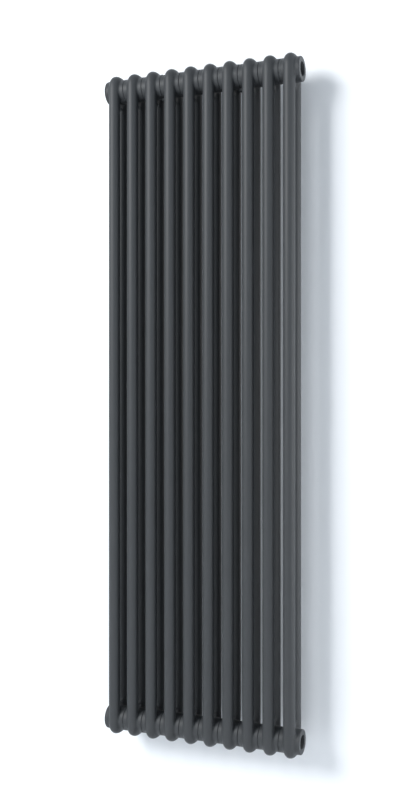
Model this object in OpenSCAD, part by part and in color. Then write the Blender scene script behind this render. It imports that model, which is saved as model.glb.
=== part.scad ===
// Two-column tubular steel radiator, ten sections, hung on a wall.
// Frame: X runs along the row to the right, Y runs back to the wall, Z is up.
// Origin: on the wall plane, in the middle of the four wall-screw holes.
// The front faces -Y. All sizes are in millimetres.

/* [Row of sections] */
// Overall height of the sections
overall_h = 1502; // [600:2:2000]
// Pitch of the sections along the row
pitch = 46; // [44:0.5:58]

/* [Tubes] */
// Outer diameter of a tube
tube_d = 26; // [22:0.5:32]
// Wall of a tube
tube_wall = 1.25; // [1:0.05:2]
// Distance between the front and the rear tube axis
column_spacing = 42; // [38:0.5:50]
// Height of the arch's centre above the hub axis
arch_rise = 2; // [0:0.5:6]

/* [Heads] */
// Outer diameter of a hub neck
neck_d = 53; // [48:0.5:64]
// Wall of the pressed head
head_wall = 1.5; // [1.2:0.1:2]
// Bevel at the end of a neck, which makes the seam groove
seam_bevel = 0.9; // [0.4:0.1:1.5]
// Thickness of the web between the two legs
web_t = 12; // [8:1:20]
// Drop from the hub axis to the top of the crotch between the legs
crotch_drop = 35; // [34:1:48]
// Straight leg left below the rounded crotch
leg_end = 2; // [1:0.5:12]

/* [End bosses] */
// Radius of the threaded hole in a boss (thread crest)
thread_r = 15.1; // [9:0.1:19]
// Straight neck between an end tube and the collar of the boss welded on there
end_neck = 2; // [1:0.5:4]
// Length of the boss's spigot, which sits inside the neck
spigot_len = 8; // [5:0.5:10]
// Gap between the spigot and the neck
boss_gap = 0.05; // [0.02:0.01:0.1]
// Rounding at the outer edge of a boss
boss_round = 2; // [0.5:0.1:3]

/* [Plugs and washers] */
// Thickness of a sealing washer
washer_t = 1.5; // [1:0.1:3]
// Distance that a sealing washer stays inside the neck's outline
washer_inset = 0.5; // [0:0.1:2]
// Overhang of a plug flange past its thread
flange_rim = 4.95; // [3:0.05:6]
// Thickness of a plug flange
flange_t = 2.5; // [2:0.1:4]
// Length of a plug's thread
plug_len = 13; // [10:0.5:14]
// Radial gap between a plug's thread and the boss
thread_gap = 0.05; // [0.02:0.01:0.1]
// Hex recess of the blanking plug, across flats
hex_key = 12; // [8:1:14]
// Depth of that recess
hex_depth = 9; // [5:0.5:11]
// Hole through a washer, wider than the plug's thread
washer_bore_gap = 0.4; // [0.2:0.1:1]

/* [Air vent] */
// Outer radius of the vent tower that the nozzle turns on
tower_r = 6; // [5:0.1:8]
// Height of the vent tower above the flange
tower_h = 4; // [3.5:0.1:6]
// Radius of the bleed screw
bleed_r = 3; // [2.5:0.1:4]
// Pitch of the bleed screw's thread
bleed_pitch = 1; // [0.5:0.1:1.5]
// Turns from closed to fully open
bleed_turns = 1.5; // [1:0.25:2]
// Depth of the bleed screw's bore below the flange's face
bleed_depth = 6.5; // [6:0.5:9]
// Length of the bleed screw's square, outside the tower
square_len = 2; // [1.5:0.1:4]
// Width of the square across its flats
square_w = 5; // [4:0.1:5]
// Radius of the air passage behind the valve seat
passage_r = 1.5; // [1:0.1:2]
// Length of the soft seal
seal_len = 2.3; // [2:0.1:3]
// Wall of the nozzle ring
nozzle_wall = 2.5; // [2:0.1:3.5]
// Reach of the nozzle's spout from the vent's axis
spout_reach = 12; // [10:0.5:14]
// Outer radius of the spout
spout_r = 1.5; // [1.2:0.1:1.6]
// Radius of the hole along the spout
spout_bore_r = 0.7; // [0.4:0.1:0.9]
// Radial running gap of the turning vent pieces
running_gap = 0.05; // [0.03:0.01:0.1]
// Axial gap between vent pieces
axial_gap = 0.2; // [0.1:0.05:0.3]

/* [Wall brackets] */
// Gap between the rear tubes and the wall
wall_gap = 40; // [32:1:70]
// Sections between the row's middle and a bracket
bracket_step = 2; // [1:1:3]
// Thickness of the wall plate
plate_t = 4; // [3:0.5:6]
// Width of the wall plate
plate_w = 30; // [24:1:40]
// Height of the wall plate
plate_h = 52; // [46:1:70]
// Radius of the wall-screw hole
screw_hole_r = 4.5; // [3:0.1:5.5]
// Distance of that hole from the plate's outer end
screw_edge = 13; // [9:0.5:15]
// Overhang of the wall plate towards the radiator's middle, from the hub axis
plate_inset = 2; // [0:0.5:4]
// Thickness of the arm, which fits between two sections
arm_t = 8; // [6:0.5:10]
// Angle below the horizontal at which the arm's lower edge meets the cradle
arm_root = 22; // [10:1:40]
// Width of the cradle along the row
cradle_w = 10; // [8:0.5:14]
// Thickness of the cradle
cradle_t = 4.6; // [3:0.1:7]
// Thickness of a plastic pad
pad_t = 1.8; // [1:0.1:3]
// Gap between a neck and its pad
pad_gap = 0.1; // [0.05:0.05:0.3]
// Angle by which the carrying cradle reaches past the bottom of the neck
cradle_lip = 12; // [0:1:25]
// Half angle of the lower, distance-keeping cradle
spacer_angle = 48; // [30:1:55]

/* [Anti-lift hooks] */
// Thickness of the hook's strip
hook_t = 1.4; // [1:0.1:2]
// Gap between the hook and the neck
hook_gap = 0.4; // [0.2:0.1:1]
// Length of the hook's flat foot
hook_foot = 20; // [16:1:22]
// Radius of the hook screw's shank
hook_screw_r = 2; // [1.5:0.1:2.5]
// Radius of the hook screw's head
hook_screw_head_r = 3.6; // [3:0.1:4]
// Height of the hook screw's head
hook_screw_head_h = 2.6; // [2:0.1:3]
// Length of the hook screw's shank
hook_screw_len = 12; // [8:1:14]

/* [Hidden] */
$fn = 96;
sections = 10;
overlap = 0.2;

tube_r = tube_d / 2;
tube_bore_r = tube_r - tube_wall;
neck_r = neck_d / 2;
neck_bore_r = neck_r - head_wall;
depth = column_spacing + tube_d;
arch_r = column_spacing / 2;
mid_y = -(wall_gap + depth / 2);
hub_z = overall_h / 2 - depth / 2 - arch_rise;

// The crotch runs into the legs a little inside their skin, at the web's faces.
// Its radius is rounded up to a tenth.
crotch_reach = arch_r - sqrt(tube_r * tube_r - web_t * web_t / 4) + 0.1;
crotch_r = ceil(10 * crotch_reach) / 10;
leg_drop = crotch_drop + crotch_r + leg_end;
tube_len = 2 * (hub_z - leg_drop);
row_half = sections * pitch / 2;

// The neck of a head at the row's end stops where the boss's collar starts
collar_start = tube_r + end_neck;
collar_len = pitch / 2 - collar_start;
left_face_x = -row_half + washer_t;
right_face_x = row_half;
plug_r = thread_r - thread_gap;

plug_face_x = -row_half;
flange_face_x = plug_face_x - flange_t;
tower_face_x = flange_face_x - tower_h;
square_face_x = tower_face_x - axial_gap;
bleed_end_x = flange_face_x + bleed_depth;
bleed_travel = bleed_pitch * bleed_turns;
seal_r = bleed_r - 0.3;
bleed_tip_x = bleed_end_x - axial_gap - seal_len - axial_gap;

bracket_x = bracket_step * pitch;
cradle_in_r = neck_r + pad_gap + pad_t;
cradle_out_r = cradle_in_r + cradle_t;
cradle_top = 30;
arm_top = cradle_out_r * sin(cradle_top) + 1.5;
hole_z = hub_z - plate_inset + plate_h - screw_edge;
hook_in_r = neck_r + hook_gap;
hook_start = asin(arm_top / hook_in_r);
hook_end = 92;
foot_y = hook_in_r * cos(hook_start) + overlap;

// Middle of section i along the row
function section_x(i) = (i - (sections + 1) / 2) * pitch;

// A cylinder along X between two places
module rod_x(r, x1, x2) {
    translate([x1, 0, 0]) rotate([0, 90, 0]) cylinder(r = r, h = x2 - x1);
}

// A sector of a ring about the X axis, centred at x = 0.
// Angle 0 points to the wall and 90 points up.
module sector_x(r1, r2, w, from, to) {
    rotate([90, 0, 90])
        rotate([0, 0, from])
            rotate_extrude(angle = to - from)
                translate([r1, -w / 2]) square([r2 - r1, w]);
}

// The bent tube of a head, with its two straight legs down to a drop below the hub axis
module bent_tube(r, drop) {
    translate([0, 0, arch_rise])
        rotate([90, 0, 90])
            rotate_extrude(angle = 180) translate([arch_r, 0]) circle(r = r);
    for (side = [-1, 1])
        translate([0, side * arch_r, -drop])
            cylinder(r = r, h = drop + arch_rise);
}

// The web that closes the head between its legs, with a rounded crotch
module web() {
    difference() {
        translate([-web_t / 2, -arch_r, -crotch_drop - crotch_r])
            cube([web_t, 2 * arch_r, crotch_drop + crotch_r + arch_rise]);
        translate([0, 0, -crotch_drop - crotch_r]) rod_x(crotch_r, -web_t, web_t);
    }
}

// The neck, from its left to its right end, with a bevel at each where it meets its neighbour
module neck(left, right) {
    rod_x(neck_r, -left + seam_bevel, right - seam_bevel);
    translate([-left, 0, 0]) rotate([0, 90, 0])
        cylinder(r1 = neck_r - seam_bevel, r2 = neck_r, h = seam_bevel);
    translate([right - seam_bevel, 0, 0]) rotate([0, 90, 0])
        cylinder(r1 = neck_r, r2 = neck_r - seam_bevel, h = seam_bevel);
}

// One head about its hub axis. An end head stops where the boss's collar starts.
module head(i) {
    left = i == 1 ? collar_start : pitch / 2;
    right = i == sections ? collar_start : pitch / 2;
    difference() {
        union() {
            bent_tube(tube_r, leg_drop);
            web();
            neck(left, right);
        }
        bent_tube(tube_bore_r, leg_drop + overlap);
        rod_x(neck_bore_r, -left - overlap, right + overlap);
    }
}

module upper_head(i) {
    color("dimgray") translate([section_x(i), mid_y, hub_z]) head(i);
}

module lower_head(i) {
    color("dimgray") translate([section_x(i), mid_y, -hub_z]) mirror([0, 0, 1]) head(i);
}

// A tube from the lower to the upper head
module tube(i, side) {
    color("dimgray")
        translate([section_x(i), mid_y + side * arch_r, -tube_len / 2])
            difference() {
                cylinder(r = tube_r, h = tube_len);
                translate([0, 0, -overlap]) cylinder(r = tube_bore_r, h = tube_len + 2 * overlap);
            }
}

// A threaded ring welded into the end of the row, its face at x = face.
// A spigot inside the neck centres it, and its collar, rounded at the face, closes the neck.
// Its profile is turned about the X axis; out is -1 for the left end and 1 for the right end.
module boss(face, out, z) {
    collar = collar_len - (out < 0 ? washer_t : 0);
    spigot_r = neck_bore_r - boss_gap;
    color("dimgray")
        translate([face, mid_y, z])
            rotate([0, out * 90, 0])
                translate([0, 0, -collar])
                    rotate_extrude() {
                        translate([thread_r, -spigot_len])
                            square([spigot_r - thread_r, spigot_len + overlap]);
                        translate([thread_r, 0]) square([neck_r - thread_r, collar - boss_round]);
                        translate([thread_r, 0]) square([neck_r - thread_r - boss_round, collar]);
                        translate([neck_r - boss_round, collar - boss_round]) circle(r = boss_round);
                    }
}

// A flat black washer between a left boss and its plug
module washer(z) {
    bore_r = thread_r + washer_bore_gap;
    color("black")
        translate([0, mid_y, z])
            difference() {
                rod_x(neck_r - washer_inset, left_face_x - washer_t, left_face_x);
                rod_x(bore_r, left_face_x - washer_t - overlap, left_face_x + overlap);
            }
}

// Flange and thread that both plugs share
module plug_blank() {
    rod_x(plug_r, plug_face_x - overlap, plug_face_x + plug_len);
    rod_x(plug_r + flange_rim, flange_face_x, plug_face_x);
}

module vent_plug() {
    color("dimgray")
        translate([0, mid_y, hub_z])
            difference() {
                union() {
                    plug_blank();
                    rod_x(tower_r, tower_face_x, flange_face_x + overlap);
                }
                rod_x(bleed_r + running_gap, tower_face_x - overlap, bleed_end_x);
                rod_x(passage_r, bleed_end_x - overlap, plug_face_x + plug_len + overlap);
            }
}

// The bleed screw: a threaded shank and the square that the key turns
module bleed_screw() {
    color("silver")
        translate([0, mid_y, hub_z]) {
            rod_x(bleed_r, square_face_x, bleed_tip_x);
            translate([square_face_x - square_len, -square_w / 2, -square_w / 2])
                cube([square_len, square_w, square_w]);
        }
}

// The soft seal that the bleed screw pushes onto its seat
module vent_seal() {
    color("white")
        translate([0, mid_y, hub_z])
            rod_x(seal_r, bleed_tip_x + axial_gap, bleed_end_x - axial_gap / 4);
}

// The nozzle ring turns on the tower. Its spout hangs down at rest.
module vent_nozzle() {
    ring_in = tower_r + running_gap;
    ring_out = ring_in + nozzle_wall;
    x1 = tower_face_x + axial_gap;
    x2 = flange_face_x - axial_gap;
    color("dimgray")
        translate([0, mid_y, hub_z])
            difference() {
                union() {
                    rod_x(ring_out, x1, x2);
                    translate([(x1 + x2) / 2, 0, -spout_reach])
                        cylinder(r = spout_r, h = spout_reach - ring_in);
                }
                rod_x(ring_in, x1 - overlap, x2 + overlap);
                translate([(x1 + x2) / 2, 0, -spout_reach - overlap])
                    cylinder(r = spout_bore_r, h = spout_reach);
            }
}

module blanking_plug() {
    color("dimgray")
        translate([0, mid_y, -hub_z])
            difference() {
                plug_blank();
                translate([flange_face_x - overlap, 0, 0])
                    rotate([0, 90, 0])
                        cylinder(r = hex_key / sqrt(3), h = hex_depth + overlap, $fn = 6);
            }
}

// Wall plate, arm and cradle about the neck's axis; the cradle runs between two angles
module bracket(from, to) {
    plate_z = -plate_inset;
    difference() {
        translate([-plate_w / 2, -mid_y - plate_t, plate_z]) cube([plate_w, plate_t, plate_h]);
        translate([0, -mid_y + overlap, hole_z - hub_z])
            rotate([90, 0, 0])
                cylinder(r = screw_hole_r, h = plate_t + 2 * overlap);
    }
    difference() {
        translate([-arm_t / 2, 0, 0])
            rotate([90, 0, 90])
                linear_extrude(height = arm_t)
                    polygon([
                        [-mid_y - plate_t, plate_z],
                        [-mid_y - plate_t, arm_top],
                        [cradle_in_r * cos(cradle_top), arm_top],
                        [cradle_in_r * cos(arm_root), -cradle_in_r * sin(arm_root)]
                    ]);
        rod_x(cradle_in_r + cradle_t / 2, -arm_t, arm_t);
    }
    sector_x(cradle_in_r, cradle_out_r, cradle_w, from, to);
}

module pad(from, to) {
    sector_x(neck_r + pad_gap, cradle_in_r, cradle_w, from, to);
}

// side is -1 for the left and 1 for the right bracket
module upper_bracket(side) {
    color("dimgray")
        translate([side * bracket_x, mid_y, hub_z])
            difference() {
                bracket(-90 - cradle_lip, cradle_top);
                hook_screw_shape(hook_screw_r + running_gap, 0);
            }
}

module lower_bracket(side) {
    color("dimgray")
        translate([side * bracket_x, mid_y, -hub_z])
            mirror([0, 0, 1]) bracket(-spacer_angle, cradle_top);
}

// The screw that holds an anti-lift hook, about the neck's axis
module hook_screw_shape(shank_r, head_r) {
    y = cradle_out_r + hook_foot / 2;
    translate([0, y, arm_top + hook_t - hook_screw_len]) cylinder(r = shank_r, h = hook_screw_len);
    if (head_r > 0)
        translate([0, y, arm_top + hook_t]) cylinder(r = head_r, h = hook_screw_head_h);
}

module upper_pads() {
    color("black")
        for (side = [-1, 1])
            translate([side * bracket_x, mid_y, hub_z]) pad(-90 - cradle_lip, cradle_top);
}

module lower_pads() {
    color("black")
        for (side = [-1, 1])
            translate([side * bracket_x, mid_y, -hub_z])
                mirror([0, 0, 1]) pad(-spacer_angle, cradle_top);
}

// A strip bent over the neck, with a flat foot screwed to the arm
module anti_lift_hooks() {
    color("silver")
        for (side = [-1, 1])
            translate([side * bracket_x, mid_y, hub_z])
                difference() {
                    union() {
                        sector_x(hook_in_r, hook_in_r + hook_t, arm_t, hook_start, hook_end);
                        translate([-arm_t / 2, foot_y, arm_top])
                            cube([arm_t, cradle_out_r + hook_foot - foot_y, hook_t]);
                    }
                    hook_screw_shape(hook_screw_r + running_gap, 0);
                }
}

module hook_screws() {
    color("silver")
        for (side = [-1, 1])
            translate([side * bracket_x, mid_y, hub_z])
                hook_screw_shape(hook_screw_r, hook_screw_head_r);
}

for (i = [1 : sections]) {
    upper_head(i);
    lower_head(i);
    tube(i, -1);
    tube(i, 1);
}
boss(left_face_x, -1, hub_z);  // upper_left_boss
boss(left_face_x, -1, -hub_z);  // lower_left_boss
boss(right_face_x, 1, hub_z);  // upper_right_boss
boss(right_face_x, 1, -hub_z);  // lower_right_boss
washer(hub_z);  // vent_washer
washer(-hub_z);  // blanking_washer
vent_plug();
bleed_screw();
vent_seal();
vent_nozzle();
blanking_plug();
upper_bracket(-1);  // upper_bracket_left
upper_bracket(1);  // upper_bracket_right
lower_bracket(-1);  // lower_bracket_left
lower_bracket(1);  // lower_bracket_right
upper_pads();
lower_pads();
anti_lift_hooks();
hook_screws();
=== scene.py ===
from math import atan2, cos, hypot, pi, radians, sin

import bmesh
import bpy
import numpy as np
from mathutils import Matrix, Vector


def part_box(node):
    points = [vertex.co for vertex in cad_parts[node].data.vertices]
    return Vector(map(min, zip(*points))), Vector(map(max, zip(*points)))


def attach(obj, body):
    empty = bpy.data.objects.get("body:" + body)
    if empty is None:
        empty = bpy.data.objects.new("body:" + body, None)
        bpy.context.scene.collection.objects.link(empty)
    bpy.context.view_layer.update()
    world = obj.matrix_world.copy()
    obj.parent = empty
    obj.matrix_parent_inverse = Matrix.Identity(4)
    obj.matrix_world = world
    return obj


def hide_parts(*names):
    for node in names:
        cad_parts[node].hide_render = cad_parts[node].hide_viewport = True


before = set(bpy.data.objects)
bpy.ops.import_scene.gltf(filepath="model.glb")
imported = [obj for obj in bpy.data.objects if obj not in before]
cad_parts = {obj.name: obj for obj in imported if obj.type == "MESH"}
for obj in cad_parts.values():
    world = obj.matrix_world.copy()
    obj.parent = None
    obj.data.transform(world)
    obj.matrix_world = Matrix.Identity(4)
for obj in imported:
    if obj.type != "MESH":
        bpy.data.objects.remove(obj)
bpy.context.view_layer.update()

# ---------------------------------------------------------------------------------------------
# The camera stands level with the middle of the radiator, two metres in front of it and to its
# right, and looks back to the left. The studio is a pale floor and a pale wall.
mm = 0.001
camera_lens = bpy.data.cameras.new("camera")
camera_lens.sensor_width = 36
camera_lens.lens = 44.14
camera_lens.shift_y = -0.00196
camera = bpy.data.objects.new("camera", camera_lens)
camera.location = (0.8265, -2.0801, 0.015)
camera.rotation_euler = (pi / 2, 0, radians(22.21))
bpy.context.scene.collection.objects.link(camera)
bpy.context.scene.camera = camera
bpy.context.scene.view_settings.view_transform = "Standard"


class Wire:
    """A number on its way through a finish's nodes. Sums written on it add Math nodes."""

    def __init__(self, finish, socket):
        self.finish = finish
        self.socket = socket

    def sum(self, operation, first, second):
        return self.finish.node("ShaderNodeMath", {"operation": operation}, {0: first, 1: second})

    def __add__(self, other):
        return self.sum("ADD", self, other)

    def __radd__(self, other):
        return self.sum("ADD", other, self)

    def __mul__(self, other):
        return self.sum("MULTIPLY", self, other)

    def __rmul__(self, other):
        return self.sum("MULTIPLY", other, self)

    def __pow__(self, other):
        return self.sum("POWER", self, other)


class Finish:
    """One finish: a material, its shader, and a method that adds any node to it."""

    def __init__(self, name, **constants):
        self.material = bpy.data.materials.new(name)
        self.material.use_nodes = True
        self.tree = self.material.node_tree
        self.shader = self.tree.nodes["Principled BSDF"]
        self.set(self.shader, constants)
        self.place = self.node("ShaderNodeTexCoord", out="Object")

    def set(self, node, values):
        for key, value in values.items():
            socket = node.inputs[key.replace("_", " ") if isinstance(key, str) else key]
            if isinstance(value, Wire):
                self.tree.links.new(value.socket, socket)
            else:
                socket.default_value = value

    def node(self, kind, settings=None, values=None, out=0):
        """Adds a node: its settings first, then the values or wires of its sockets."""
        node = self.tree.nodes.new(kind)
        for key, value in (settings or {}).items():
            setattr(node, key, value)
        self.set(node, values or {})
        return Wire(self, node.outputs[out])

    def grain(self, size, detail=2.0, stretch=(1, 1, 1)):
        """Noise whose lumps are about size metres across."""
        place = self.node("ShaderNodeMapping", None, {"Vector": self.place, "Scale": stretch})
        values = {"Vector": place, "Scale": 1 / size, "Detail": detail}
        return self.node("ShaderNodeTexNoise", None, values)

    def blend(self, factor, first, second):
        """Goes from the first colour to the second; sockets 6 and 7 of a Mix node are colours."""
        mix = {"Factor": factor, 6: first, 7: second}
        return self.node("ShaderNodeMix", {"data_type": "RGBA"}, mix, out=2)

    def relief(self, height, depth, under=None):
        """A bump of that height wire, depth metres deep, on top of another relief."""
        values = {"Strength": 1.0, "Distance": depth, "Height": height}
        if under:
            values["Normal"] = under
        return self.node("ShaderNodeBump", None, values)


def plane(name, corners, finish):
    sheet = bmesh.new()
    sheet.faces.new([sheet.verts.new(corner) for corner in corners])
    mesh = bpy.data.meshes.new(name)
    sheet.to_mesh(mesh)
    sheet.free()
    mesh.materials.append(finish.material)
    made = bpy.data.objects.new(name, mesh)
    bpy.context.scene.collection.objects.link(made)


floor_z = -1.02
room = 6.0
floor_finish = Finish("pale_floor", Base_Color=(0.80, 0.81, 0.82, 1), Roughness=0.85)
floor_corners = [(-room, -room, floor_z), (room, -room, floor_z),
                 (room, room, floor_z), (-room, room, floor_z)]
plane("floor", floor_corners, floor_finish)

# The wall is seen from the room only. From behind it is clear, and light passes it on its way
# to the radiator's back and to the plates that lie against it.
wall_top = 2.2
wall_y = 0.5 * mm
plate_reach = 3 * mm
wall_finish = Finish("pale_wall", Base_Color=(0.835, 0.86, 0.89, 1), Roughness=0.9)
from_behind = wall_finish.node("ShaderNodeNewGeometry", out="Backfacing")
lit_through = wall_finish.node("ShaderNodeLightPath", out="Is Shadow Ray")
ray_length = wall_finish.node("ShaderNodeLightPath", out="Ray Length")
touching = wall_finish.node("ShaderNodeMath", {"operation": "LESS_THAN"},
                            {0: ray_length, 1: plate_reach})
passing = wall_finish.node("ShaderNodeMath", {"operation": "MAXIMUM"}, {0: lit_through, 1: touching})
behind = wall_finish.node("ShaderNodeMath", {"operation": "MAXIMUM"}, {0: from_behind, 1: passing})
clear = wall_finish.node("ShaderNodeBsdfTransparent")
wall_paint = Wire(wall_finish, wall_finish.shader.outputs[0])
one_sided = wall_finish.node("ShaderNodeMixShader", None, {0: behind, 1: wall_paint, 2: clear})
wall_finish.set(wall_finish.tree.nodes["Material Output"], {"Surface": one_sided})
wall_corners = [(-room, wall_y, floor_z), (room, wall_y, floor_z),
                (room, wall_y, wall_top), (-room, wall_y, wall_top)]
plane("wall", wall_corners, wall_finish)


def softbox(name, place, aim, width, height, power):
    light = bpy.data.lights.new(name, "AREA")
    light.shape = "RECTANGLE"
    light.size = width
    light.size_y = height
    light.energy = power
    lamp = bpy.data.objects.new(name, light)
    lamp.location = place
    lamp.rotation_euler = (Vector(aim) - Vector(place)).to_track_quat("-Z", "Y").to_euler()
    bpy.context.scene.collection.objects.link(lamp)


softbox("key", (-2.2, -3.2, 1.75), (0, 0, 0.1), 1.7, 1.7, 182)
softbox("side", (2.4, -0.4, 0.1), (0.23, -0.07, 0), 0.6, 2.0, 32)
softbox("rim", (1.9, 2.0, 0.4), (0, 0, 0), 1.4, 1.8, 26)
sky = bpy.data.worlds.new("studio")
sky.use_nodes = True
sky.node_tree.nodes["Background"].inputs["Color"].default_value = (0.84, 0.92, 1.0, 1)
sky.node_tree.nodes["Background"].inputs["Strength"].default_value = 0.51
bpy.context.scene.world = sky

# ---------------------------------------------------------------------------------------------
# Heads. Two pressed steel shells, welded and ground smooth, make each bent tube that joins a
# front and a rear tube, with the round neck of the water way across it. The necks are
# butt-welded along the row, which leaves a narrow groove, and a web closes the crotch.

# The anthracite powder coat is sprayed on and baked. It leaves a satin skin with a fine orange
# peel, slightly lighter where dust settles on what faces up.
paint = Finish("anthracite_powder_coat", IOR=1.5, Specular_IOR_Level=0.3)
peel = paint.grain(1.6 * mm, detail=1.0)
drift = paint.grain(60 * mm, detail=3.0)
facing = paint.node("ShaderNodeNewGeometry", out="Normal")
up = paint.node("ShaderNodeSeparateXYZ", None, {0: facing}, out="Z")
dust = paint.node("ShaderNodeMath", {"operation": "MAXIMUM"}, {0: up, 1: 0.0}) ** 2.0 * drift * 0.12
coat_colour = paint.blend(drift, (0.036, 0.0395, 0.043, 1), (0.042, 0.0455, 0.049, 1))
paint.set(paint.shader, {
    "Base Color": paint.blend(dust, coat_colour, (0.16, 0.165, 0.17, 1)),
    "Roughness": 0.48 + drift * 0.08 + dust * 0.3,
    "Normal": paint.relief(peel, 0.03 * mm, under=paint.relief(drift, 0.25 * mm)),
})


def corners_of(name):
    """Lowest and highest corner of a CAD node, as vectors."""
    low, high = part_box(name)
    return Vector(low), Vector(high)


def show(name, shape, finish, slot, body, *nodes):
    """Hands a finished shape over: it stands for its CAD nodes, on their body, in their finish."""
    crease = radians(35)
    mesh = bpy.data.meshes.new(name)
    shape.to_mesh(mesh)
    shape.free()
    mesh.materials.append(finish.material)
    for face in mesh.polygons:
        face.use_smooth = True
    mesh.set_sharp_from_angle(angle=crease)
    piece = bpy.data.objects.new(name, mesh)
    piece.modifiers.new("even_shading", "WEIGHTED_NORMAL").keep_sharp = True
    bpy.context.scene.collection.objects.link(piece)
    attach(piece, body)
    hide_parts(*nodes)


sections = 10
hair = 0.01 * mm
rear_high = corners_of("rear_tube_2")[1]
front_low, front_high = corners_of("front_tube_2")
tube_r = (front_high.x - front_low.x) / 2
column_y = (front_low.y + front_high.y) / 2
mid_y = (front_low.y + rear_high.y) / 2
arch_r = mid_y - column_y
pitch = corners_of("front_tube_3")[0].x - front_low.x
boss_low, boss_high = corners_of("upper_right_boss")
neck_r = (boss_high.z - boss_low.z) / 2
hub_z = (boss_high.z + boss_low.z) / 2
leg_z = front_high.z - hub_z
end_neck_x = corners_of("upper_head_10")[1].x - (corners_of("front_tube_10")[0].x + tube_r)
head_wall = 1.5 * mm

# A fullness of 2 would bend the arch as half a circle. The pressed arch is fuller at its
# shoulders and ends a little lower than the half circle of the CAD.
arch_fullness = 2.6
arch_drop = 1.6 * mm
arch_z = corners_of("upper_head_2")[1].z - tube_r - arch_r - hub_z - arch_drop
web_half = 6 * mm
crotch_z = -35 * mm
crotch_r = 9.6 * mm
neck_reach = 3 * mm
web_reach = 4 * mm
groove_w = 1.3 * mm
groove_d = 2.0 * mm


def soft_union(first, second, reach):
    """The nearer of two skins, blended within reach of where they meet."""
    share = np.clip(0.5 + 0.5 * (second - first) / reach, 0, 1)
    return second + (first - second) * share - reach * share * (1 - share)


def distance_to_head(place):
    """How far outside the pressed head's skin each place lies, about the hub axis.
    The web's blend fades out below the crotch, so that it leaves no lump on the tubes."""
    x, y, z = place.T
    rise = np.maximum(z - arch_z, 0)
    centre = (np.abs(y) ** arch_fullness + rise ** arch_fullness) ** (1 / arch_fullness) - arch_r
    tube = np.hypot(x, centre) - tube_r
    crotch = crotch_r - np.hypot(y, z - crotch_z + crotch_r)
    sides = [np.abs(x) - web_half, np.abs(y) - arch_r, z - arch_z, crotch_z - crotch_r - z]
    web = np.maximum.reduce(sides + [crotch])
    neck = np.hypot(y, z) - neck_r
    faded = 0.02
    fading = np.clip((z - crotch_z) / crotch_r + 1, faded, 1)
    return soft_union(soft_union(tube, web, web_reach * fading), neck, neck_reach)


def settle(shape, rounds, pulls):
    """Brings a mesh onto the head's skin. Each round relaxes the vertices, then pulls them back."""
    probe = 0.02 * mm
    least = 0.05
    for _ in range(rounds):
        bmesh.ops.smooth_vert(shape, verts=shape.verts, factor=0.5,
                              use_axis_x=True, use_axis_y=True, use_axis_z=True)
        for _ in range(pulls):
            place = np.array([vert.co for vert in shape.verts])
            gap = distance_to_head(place)
            rises = [distance_to_head(place + probe * way) - gap for way in np.eye(3)]
            slope = np.stack(rises, axis=1) / probe
            steep = np.maximum((slope ** 2).sum(axis=1), least)
            place -= slope * (gap / steep)[:, None]
            for vert, new in zip(shape.verts, place):
                vert.co = new


def rough_head():
    """The head's tubes, neck and web, run into each other, a little long at the open ends."""
    spare = 5 * mm
    shape = bmesh.new()
    across = Matrix.Rotation(pi / 2, 4, "Y")
    bmesh.ops.create_cone(shape, cap_ends=True, segments=96, radius1=neck_r, radius2=neck_r,
                          depth=pitch + 2 * spare, matrix=across)
    leg = arch_z - leg_z + spare
    for side in (-1, 1):
        place = Matrix.Translation((0, side * arch_r, arch_z - leg / 2))
        bmesh.ops.create_cone(shape, cap_ends=True, segments=64, radius1=tube_r, radius2=tube_r,
                              depth=leg, matrix=place)
    foot = Matrix.Translation((0, arch_r, arch_z))
    made = bmesh.ops.create_circle(shape, cap_ends=True, segments=64, radius=tube_r, matrix=foot)
    disc = made["verts"][0].link_faces[0]
    bmesh.ops.spin(shape, geom=disc.verts[:] + disc.edges[:] + [disc], cent=(0, 0, arch_z),
                   axis=(1, 0, 0), angle=pi, steps=48, use_duplicate=False)
    tall = arch_z - crotch_z
    size = Matrix.Diagonal((2 * web_half, 2 * arch_r, tall, 1))
    bmesh.ops.create_cube(shape, size=1, matrix=Matrix.Translation((0, 0, arch_z - tall / 2)) @ size)
    bmesh.ops.recalc_face_normals(shape, faces=shape.faces)
    return shape


def remeshed(shape, voxel):
    """One even skin round all parts of a rough shape."""
    mesh = bpy.data.meshes.new("rough")
    shape.to_mesh(mesh)
    shape.free()
    rough = bpy.data.objects.new("rough", mesh)
    bpy.context.scene.collection.objects.link(rough)
    remesh = rough.modifiers.new("remesh", "REMESH")
    remesh.mode = "VOXEL"
    remesh.voxel_size = voxel
    even = bmesh.new()
    even.from_object(rough, bpy.context.evaluated_depsgraph_get())
    bpy.data.objects.remove(rough)
    bpy.data.meshes.remove(mesh)
    return even


def edge_ring(shape, test):
    """The open edges whose both ends pass a test."""
    return [edge for edge in shape.edges
            if edge.is_boundary and all(test(vert.co) for vert in edge.verts)]


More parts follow.
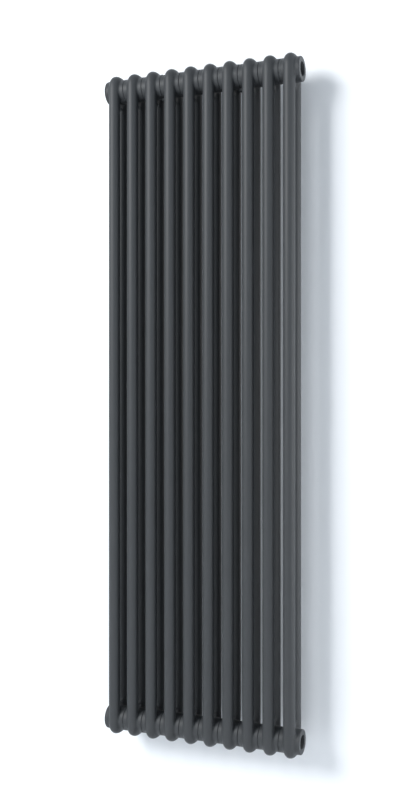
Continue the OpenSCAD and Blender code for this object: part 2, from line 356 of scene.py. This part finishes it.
def trimmed_head(settled, left, right, left_share=1.0):
    """A head cut to its neck's two ends, with their rounded rims, its tunnel and its leg ends.
    The left end's groove may be a share of the full one, where a boss is welded on flush."""
    shape = settled.copy()
    left_w, left_d = groove_w * left_share, groove_d * left_share
    cuts = (((0, 0, leg_z), (0, 0, 1)),
            ((left_w - left, 0, 0), (1, 0, 0)),
            ((right - groove_w, 0, 0), (-1, 0, 0)))
    for place, normal in cuts:
        everything = shape.verts[:] + shape.edges[:] + shape.faces[:]
        bmesh.ops.bisect_plane(shape, geom=everything, plane_co=place, plane_no=normal,
                               clear_inner=True)
    legs = edge_ring(shape, lambda co: abs(co.z - leg_z) < hair)
    bmesh.ops.holes_fill(shape, edges=legs, sides=0)
    inner = []
    rims = 5
    for out, end, wide, deep in ((-1, left, left_w, left_d), (1, right, groove_w, groove_d)):
        ring = edge_ring(shape, lambda co: abs(co.x - out * (end - wide)) < hair)
        for step in range(1, rims + 2):
            made = bmesh.ops.extrude_edge_only(shape, edges=ring)["geom"]
            ring = [item for item in made if isinstance(item, bmesh.types.BMEdge)]
            ring = [edge for edge in ring if edge.is_boundary]
            turn = min(step, rims) / rims * pi / 2
            radius = neck_r - (deep * (1 - cos(turn)) if step <= rims else groove_d + head_wall)
            for vert in {vert for edge in ring for vert in edge.verts}:
                scale = radius / hypot(vert.co.y, vert.co.z)
                vert.co = (out * (end - wide * (1 - sin(turn))), vert.co.y * scale, vert.co.z * scale)
        inner += ring
    bmesh.ops.bridge_loops(shape, edges=inner)
    bmesh.ops.recalc_face_normals(shape, faces=shape.faces)
    return shape


settled_head = remeshed(rough_head(), voxel=1.5 * mm)
settle(settled_head, rounds=4, pulls=3)
flush_share = 0.2
middle_head = trimmed_head(settled_head, pitch / 2, pitch / 2)
end_head = trimmed_head(settled_head, end_neck_x, pitch / 2, left_share=flush_share)
settled_head.free()
for number in range(1, sections + 1):
    pattern = end_head if number in (1, sections) else middle_head
    about_face = Matrix.Rotation(pi if number == sections else 0, 4, "Z")
    low, high = corners_of(f"front_tube_{number}")
    for level, height, flip in (("upper", hub_z, 0), ("lower", -hub_z, pi)):
        name = f"{level}_head_{number}"
        hub = Matrix.Translation(((low.x + high.x) / 2, mid_y, height))
        place = hub @ Matrix.Rotation(flip, 4, "X") @ about_face
        shape = pattern.copy()
        bmesh.ops.transform(shape, matrix=place, verts=shape.verts)
        show(f"pressed_{name}", shape, paint, "anthracite_paint", "radiator", name)
middle_head.free()
end_head.free()

# ---------------------------------------------------------------------------------------------
# Tubes. Precision steel tube, cut square and butt-welded to the legs of the two heads; the
# welds are ground flush before painting.
tube_wall = 1.25 * mm


def turned(outline, centre, axis, steps=96, closed=True):
    """Turns an outline of (radius, along) points about an axis through a centre.
    An outline that isn't closed starts and ends on the axis."""
    centre, axis = Vector(centre), Vector(axis)
    side = axis.orthogonal().normalized()
    seam = 0.001 * mm
    shape = bmesh.new()
    verts = [shape.verts.new(centre + side * radius + axis * along) for radius, along in outline]
    for first, second in zip(verts, verts[1:] + verts[:1] if closed else verts[1:]):
        shape.edges.new((first, second))
    bmesh.ops.spin(shape, geom=verts + shape.edges[:], cent=centre, axis=axis, angle=2 * pi,
                   steps=steps, use_merge=True, use_duplicate=False)
    bmesh.ops.remove_doubles(shape, verts=shape.verts, dist=seam)
    bmesh.ops.recalc_face_normals(shape, faces=shape.faces)
    return shape


for number in range(1, sections + 1):
    for column in ("front", "rear"):
        name = f"{column}_tube_{number}"
        low, high = corners_of(name)
        tall = high.z - low.z
        outline = [(tube_r, 0), (tube_r, tall), (tube_r - tube_wall, tall), (tube_r - tube_wall, 0)]
        foot = ((low.x + high.x) / 2, (low.y + high.y) / 2, low.z)
        shape = turned(outline, foot, (0, 0, 1), steps=72)
        show(f"drawn_{name}", shape, paint, "anthracite_paint", "radiator", name)

# ---------------------------------------------------------------------------------------------
# End bosses. Turned steel rings with a 1 inch pipe thread, each with a spigot that centres it
# in the end neck and a collar welded to the neck's rim. The right-hand pair is open for pipes.
inch = 25.4 * mm
thread_crest = 15.1 * mm
thread_root = 15.6 * mm
thread_pitch = inch / 11
thread_bed = 0.1 * mm
spigot_gap = 0.05 * mm
spigot_r = neck_r - head_wall - spigot_gap
boss_round = 2 * mm
mouth = 0.1 * mm


def corner(radius, along, turn_from, size, steps=6):
    """Points of a rounded outer corner of an outline, from a start angle through 90 degrees."""
    turns = [turn_from + step / steps * pi / 2 for step in range(steps + 1)]
    return [(radius + size * cos(turn), along + size * sin(turn)) for turn in turns]


def thread_ridge(shape, centre, axis, root, crest, lead, turns):
    """Adds a helical ridge from its root radius to its crest, one lead along in each turn.
    Half the ridge's foot and half its tip are shares of the lead."""
    side = axis.orthogonal().normalized()
    foot, tip = 0.42 * lead, 0.12 * lead
    steps = 40
    outline = [(root, -foot), (crest, -tip), (crest, tip), (root, foot)]
    verts = [shape.verts.new(centre + side * radius + axis * along) for radius, along in outline]
    edges = [shape.edges.new((verts[k], verts[(k + 1) % 4])) for k in range(4)]
    before = set(shape.edges)
    bmesh.ops.spin(shape, geom=verts + edges, cent=centre, axis=axis, dvec=axis * (lead / steps),
                   angle=2 * pi * turns, steps=round(steps * turns), use_duplicate=False)
    ends = [edge for edge in shape.edges if edge.is_boundary and (edge in edges or edge not in before)]
    bmesh.ops.holes_fill(shape, edges=ends, sides=4)


for name in ("upper_left_boss", "lower_left_boss", "upper_right_boss", "lower_right_boss"):
    low, high = corners_of(name)
    out = 1 if high.x > 0 else -1
    long = high.x - low.x
    inner_end = Vector((low.x if out > 0 else high.x, mid_y, (low.z + high.z) / 2))
    inset = pitch * sections / 2 - max(high.x, -low.x)
    collar_at = long - (pitch / 2 - end_neck_x - inset)
    outline = [(thread_root, 0), (spigot_r, 0), (spigot_r, collar_at), (neck_r, collar_at)]
    outline += corner(neck_r - boss_round, long - boss_round, 0, boss_round)
    outline += [(thread_root + mouth, long), (thread_root, long - mouth)]
    axis = Vector((out, 0, 0))
    shape = turned(outline, inner_end, axis)
    start = inner_end + axis * thread_pitch / 2
    turns = long / thread_pitch - 1
    thread_ridge(shape, start, axis, thread_root + thread_bed, thread_crest, thread_pitch, turns)
    bmesh.ops.recalc_face_normals(shape, faces=shape.faces)
    show(f"turned_{name}", shape, paint, "anthracite_paint", "radiator", name)

# ---------------------------------------------------------------------------------------------
# Sealing washers. Flat rings punched from black rubber sheet and squeezed between the left
# bosses and the flanges of their plugs; they show as a thin dark rim.
rubber = Finish("black_rubber", IOR=1.45, Specular_IOR_Level=0.35)
chalk = rubber.grain(4 * mm, detail=4.0)
rubber.set(rubber.shader, {
    "Base Color": rubber.blend(chalk, (0.011, 0.011, 0.012, 1), (0.022, 0.022, 0.023, 1)),
    "Roughness": 0.62 + chalk * 0.25,
    "Normal": rubber.relief(rubber.grain(0.4 * mm), 0.05 * mm),
})
squeeze = 0.3 * mm
washer_play = 0.4 * mm
washer_bore_r = thread_crest + washer_play
for name in ("vent_washer", "blanking_washer"):
    low, high = corners_of(name)
    washer_r = (high.z - low.z) / 2
    thick = high.x - low.x
    outline = [(washer_bore_r, thick), (washer_bore_r, 0)]
    outline += corner(washer_r - squeeze, squeeze, -pi / 2, squeeze, 4)
    outline += corner(washer_r - squeeze, thick - squeeze, 0, squeeze, 4)
    centre = Vector((high.x, mid_y, (low.z + high.z) / 2))
    shape = turned(outline, centre, (-1, 0, 0))
    show(f"punched_{name}", shape, rubber, "black_rubber", "radiator", name)

# ---------------------------------------------------------------------------------------------
# Vent plug. A turned plug that screws into the upper left boss; its flange presses the washer,
# and the tower on it holds the bleed screw inside and the nozzle ring outside.
low, high = corners_of("vent_plug")
screw_low, screw_high = corners_of("bleed_screw")
nozzle_low, nozzle_high = corners_of("vent_nozzle")
flange_r = (high.z - low.z) / 2
flange_x = corners_of("vent_washer")[0].x
shank = high.x - flange_x
tower_top = flange_x - low.x
flange_t = 2.5 * mm
tower_r = 6 * mm
bleed_r = 3 * mm
running_gap = 0.05 * mm
seat_depth = 4 * mm
passage_r = 1.5 * mm
plug_r = thread_crest - running_gap
recess_w = 2.5 * mm
recess_d = 0.3 * mm
ease = 0.5 * mm
outline = [(passage_r, -shank), (plug_r - 2 * ease, -shank), (plug_r, -shank + 2 * ease), (plug_r, 0)]
outline += corner(flange_r - ease, ease, -pi / 2, ease, 4)
outline += corner(flange_r - 2 * ease, flange_t - 2 * ease, 0, 2 * ease, 5)
outline += [(tower_r + recess_w, flange_t), (tower_r + recess_w - recess_d, flange_t - recess_d)]
outline += [(tower_r + ease, flange_t - recess_d), (tower_r, flange_t)]
outline += corner(tower_r - ease, tower_top - ease, 0, ease, 4)
outline += [(bleed_r + ease, tower_top), (bleed_r + running_gap, tower_top - ease)]
outline += [(bleed_r + running_gap, -seat_depth), (passage_r, -seat_depth)]
plug_face = Vector((flange_x, mid_y, hub_z))
shape = turned(outline, plug_face, (-1, 0, 0))
show("turned_vent_plug", shape, paint, "anthracite_paint", "radiator", "vent_plug")

# ---------------------------------------------------------------------------------------------
# Bleed screw. Turned from nickel-plated brass, with a 5 mm square for the radiator key and a
# slot across its end for a screwdriver.
nickel = Finish("nickel_brass", Metallic=1.0)
tarnish = nickel.grain(2.5 * mm, detail=4.0)
lathe = nickel.grain(0.3 * mm, detail=1.0, stretch=(3, 0.15, 0.15))
nickel.set(nickel.shader, {
    "Base Color": nickel.blend(tarnish, (0.50, 0.45, 0.36, 1), (0.72, 0.69, 0.62, 1)),
    "Roughness": 0.22 + tarnish * 0.18,
    "Normal": nickel.relief(lathe, 0.02 * mm),
})
square_w = 5 * mm
square_long = 2 * mm
square_round = 0.6 * mm
slot_half = 0.45 * mm
slot_deep = 0.9 * mm
shank_long = screw_high.x - screw_low.x - square_long


def join(shape, other):
    """Adds a second shape to a piece."""
    loose = bpy.data.meshes.new("loose")
    other.to_mesh(loose)
    other.free()
    shape.from_mesh(loose)
    bpy.data.meshes.remove(loose)


outline = [(0, 0), (bleed_r - ease, 0), (bleed_r, ease), (bleed_r, shank_long - ease / 2)]
outline += [(bleed_r - ease / 2, shank_long), (0, shank_long)]
screw_tip = Vector((screw_high.x, mid_y, hub_z))
shape = turned(outline, screw_tip, (-1, 0, 0), steps=48, closed=False)
square = bmesh.new()
middle = Matrix.Translation((screw_low.x + square_long / 2, mid_y, hub_z))
size = Matrix.Diagonal((square_long, square_w, square_w, 1))
bmesh.ops.create_cube(square, size=1, matrix=middle @ size)
upright = [edge for edge in square.edges
           if abs(edge.verts[0].co.x - edge.verts[1].co.x) > square_long / 2]
bmesh.ops.bevel(square, geom=upright, offset=square_round, segments=3, profile=0.5,
                affect="EDGES", material=-1)
for side in (-1, 1):
    everything = square.verts[:] + square.edges[:] + square.faces[:]
    cheek = (0, mid_y + side * slot_half, 0)
    bmesh.ops.bisect_plane(square, geom=everything, plane_co=cheek, plane_no=(0, 1, 0))
end = [face for face in square.faces if face.calc_center_median().x < screw_low.x + hair]
slot = [face for face in end if abs(face.calc_center_median().y - mid_y) < slot_half / 2]
made = bmesh.ops.extrude_face_region(square, geom=slot)["geom"]
bmesh.ops.delete(square, geom=slot, context="FACES")
sunk = [item for item in made if isinstance(item, bmesh.types.BMVert)]
bmesh.ops.translate(square, verts=sunk, vec=(slot_deep, 0, 0))
join(shape, square)
bmesh.ops.recalc_face_normals(shape, faces=shape.faces)
show("slotted_bleed_screw", shape, nickel, "nickel_brass", "screw", "bleed_screw")

# ---------------------------------------------------------------------------------------------
# Valve seal. A soft white plug, moulded in plastic. It sits on the end of the bleed screw,
# which presses it onto the seat inside the vent plug.
soft_white = Finish("white_seal_plastic", IOR=1.45)
cloudy = soft_white.grain(1.5 * mm, detail=3.0)
soft_white.set(soft_white.shader, {
    "Base Color": soft_white.blend(cloudy, (0.70, 0.69, 0.64, 1), (0.82, 0.82, 0.79, 1)),
    "Roughness": 0.45 + cloudy * 0.2,
    "Normal": soft_white.relief(cloudy, 0.05 * mm),
})
low, high = corners_of("vent_seal")
seal_r = (high.z - low.z) / 2
seal_long = high.x - low.x
outline = [(0, 0)] + corner(seal_r - ease, ease, -pi / 2, ease, 4)
outline += corner(seal_r - ease, seal_long - ease, 0, ease, 4) + [(0, seal_long)]
seal_foot = Vector((low.x, mid_y, hub_z))
shape = turned(outline, seal_foot, (1, 0, 0), steps=48, closed=False)
show("moulded_vent_seal", shape, soft_white, "white_seal_plastic", "seal", "vent_seal")

# ---------------------------------------------------------------------------------------------
# Nozzle ring. Moulded in black plastic; it turns on the tower, so that its spout points into a
# cup, and fine ribs round it give the fingers a grip.
black_plastic = Finish("black_plastic", IOR=1.47, Specular_IOR_Level=0.45)
flow = black_plastic.grain(6 * mm, detail=3.0)
black_plastic.set(black_plastic.shader, {
    "Base Color": black_plastic.blend(flow, (0.014, 0.014, 0.015, 1), (0.026, 0.026, 0.028, 1)),
    "Roughness": 0.42 + flow * 0.2,
    "Normal": black_plastic.relief(black_plastic.grain(0.25 * mm), 0.02 * mm),
})
ring_r = (nozzle_high.y - nozzle_low.y) / 2
ring_long = nozzle_high.x - nozzle_low.x
ring_bore_r = tower_r + running_gap
grip_steps = 120
grip_every = 3
grip_deep = 0.25 * mm
grip_skin = 0.05 * mm
ring_ease = 0.4 * mm
outline = [(ring_bore_r, ring_long), (ring_bore_r, 0)]
outline += corner(ring_r - ring_ease, ring_ease, -pi / 2, ring_ease, 3)
outline += corner(ring_r - ring_ease, ring_long - ring_ease, 0, ring_ease, 3)
ring_foot = Vector((nozzle_high.x, mid_y, hub_z))
shape = turned(outline, ring_foot, (-1, 0, 0), steps=grip_steps)
for vert in shape.verts:
    away = Vector((0, vert.co.y - mid_y, vert.co.z - hub_z))
    step = round(atan2(away.y, away.z) / (2 * pi) * grip_steps)
    if away.length > ring_r - grip_skin and step % grip_every == 0:
        vert.co -= away.normalized() * grip_deep
spout_r = 1.5 * mm
spout_bore_r = 0.7 * mm
spout_start = 0.3 * mm
spout_long = hub_z - nozzle_low.z - ring_bore_r - spout_start
outline = [(spout_bore_r, spout_long), (spout_bore_r, 0)]
outline += [(spout_r, 0)] + corner(spout_r - ease / 2, spout_long - ease / 2, 0, ease / 2, 3)
spout_foot = Vector(((nozzle_low.x + nozzle_high.x) / 2, mid_y, nozzle_low.z + spout_long))
join(shape, turned(outline, spout_foot, (0, 0, -1), steps=32))
show("ribbed_vent_nozzle", shape, black_plastic, "black_plastic", "nozzle", "vent_nozzle")

# ---------------------------------------------------------------------------------------------
# Blanking plug. A steel plug, coated like the radiator, that is screwed into the lower left boss
# against its washer and closes it. Its recess takes a 12 mm hex key.
low, high = corners_of("blanking_plug")
hex_half = 6 * mm
hex_deep = 9 * mm
hex_land_r = 10 * mm
plug_shank = high.x - low.x - flange_t
plug = bmesh.new()
hexagon = Matrix.Translation((low.x, mid_y, -hub_z)) @ Matrix.Rotation(-pi / 2, 4, "Y")
hex_corner_r = hex_half / cos(pi / 6)
bmesh.ops.create_circle(plug, cap_ends=False, segments=6, radius=hex_corner_r, matrix=hexagon)
bmesh.ops.subdivide_edges(plug, edges=plug.edges[:], cuts=15)
rim = plug.edges[:]


def widen(shape, ring, radius, step):
    """Extrudes a ring of edges to a radius about the plug's axis, if one is given, and along it."""
    made = bmesh.ops.extrude_edge_only(shape, edges=ring)["geom"]
    for vert in [item for item in made if isinstance(item, bmesh.types.BMVert)]:
        away = Vector((0, vert.co.y - mid_y, vert.co.z + hub_z))
        if radius is not None:
            away *= radius / away.length
        vert.co = Vector((vert.co.x + step, mid_y + away.y, away.z - hub_z))
    return [item for item in made if isinstance(item, bmesh.types.BMEdge) and item.is_boundary]


well = widen(plug, rim, None, hex_deep)
bmesh.ops.holes_fill(plug, edges=well, sides=0)
ring = [edge for edge in rim if edge.is_boundary]
profile = [(hex_land_r, 0), (flange_r - 3 * ease, 0), (flange_r - 2 * ease, 0)]
profile += [(flange_r - 0.6 * ease, 0.6 * ease), (flange_r, 2 * ease)]
profile += [(flange_r, flange_t - 3 * ease), (flange_r - ease, 0.4 * ease)]
profile += [(plug_r, 0), (plug_r, plug_shank - 2 * ease), (plug_r - ease, ease)]
for radius, step in profile:
    ring = widen(plug, ring, radius, step)
bmesh.ops.holes_fill(plug, edges=ring, sides=0)
bmesh.ops.recalc_face_normals(plug, faces=plug.faces)
show("socketed_blanking_plug", plug, paint, "anthracite_paint", "radiator", "blanking_plug")

# ---------------------------------------------------------------------------------------------
# Wall brackets. Steel plate cut, folded and welded: a wall plate with its screw hole, an arm
# between two sections, and a cradle for the necks. Their cut edges are eased before painting.
bracket_edge = 0.5 * mm


def eased(name, size, segments=2):
    """A CAD node's shape, merged, with every sharp edge eased by a small bevel."""
    seam = 0.005 * mm
    flat, crease = radians(1), radians(32)
    shape = bmesh.new()
    shape.from_mesh(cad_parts[name].data)
    bmesh.ops.remove_doubles(shape, verts=shape.verts, dist=seam)
    bmesh.ops.dissolve_limit(shape, angle_limit=flat, verts=shape.verts, edges=shape.edges)
    sharp = [edge for edge in shape.edges
             if len(edge.link_faces) == 2 and edge.calc_face_angle(0) > crease]
    bmesh.ops.bevel(shape, geom=sharp, offset=size, segments=segments, profile=0.5,
                    affect="EDGES", material=-1, clamp_overlap=True)
    return shape


for level in ("upper", "lower"):
    for side in ("left", "right"):
        name = f"{level}_bracket_{side}"
        show(f"welded_{name}", eased(name, bracket_edge), paint, "anthracite_paint", "radiator", name)

# ---------------------------------------------------------------------------------------------
# Cradle pads. Black plastic strips clipped into the cradles, which keep the steel from rubbing
# and ticking as the radiator warms up.
pad_edge = 0.3 * mm
for name in ("upper_pads", "lower_pads"):
    show(f"moulded_{name}", eased(name, pad_edge), black_plastic, "black_plastic", "radiator", name)

# ---------------------------------------------------------------------------------------------
# Anti-lift hooks and their screws. A bright zinc-plated strip is bent over each upper neck and
# screwed to the bracket's arm, so that the radiator can't be lifted off.
zinc = Finish("zinc_steel", Metallic=1.0)
spangle = zinc.grain(3 * mm)
drawn = zinc.grain(0.5 * mm, stretch=(0.1, 1, 1))
zinc.set(zinc.shader, {
    "Base Color": zinc.blend(spangle, (0.46, 0.47, 0.50, 1), (0.62, 0.63, 0.64, 1)),
    "Roughness": 0.28 + spangle * 0.22,
    "Normal": zinc.relief(drawn, 0.02 * mm),
})
strip_edge = 0.2 * mm
screw_edge = 0.25 * mm
hooks = eased("anti_lift_hooks", strip_edge)
show("bent_anti_lift_hooks", hooks, zinc, "zinc_steel", "radiator", "anti_lift_hooks")
screws = eased("hook_screws", screw_edge, segments=3)
show("driven_hook_screws", screws, zinc, "zinc_steel", "radiator", "hook_screws")
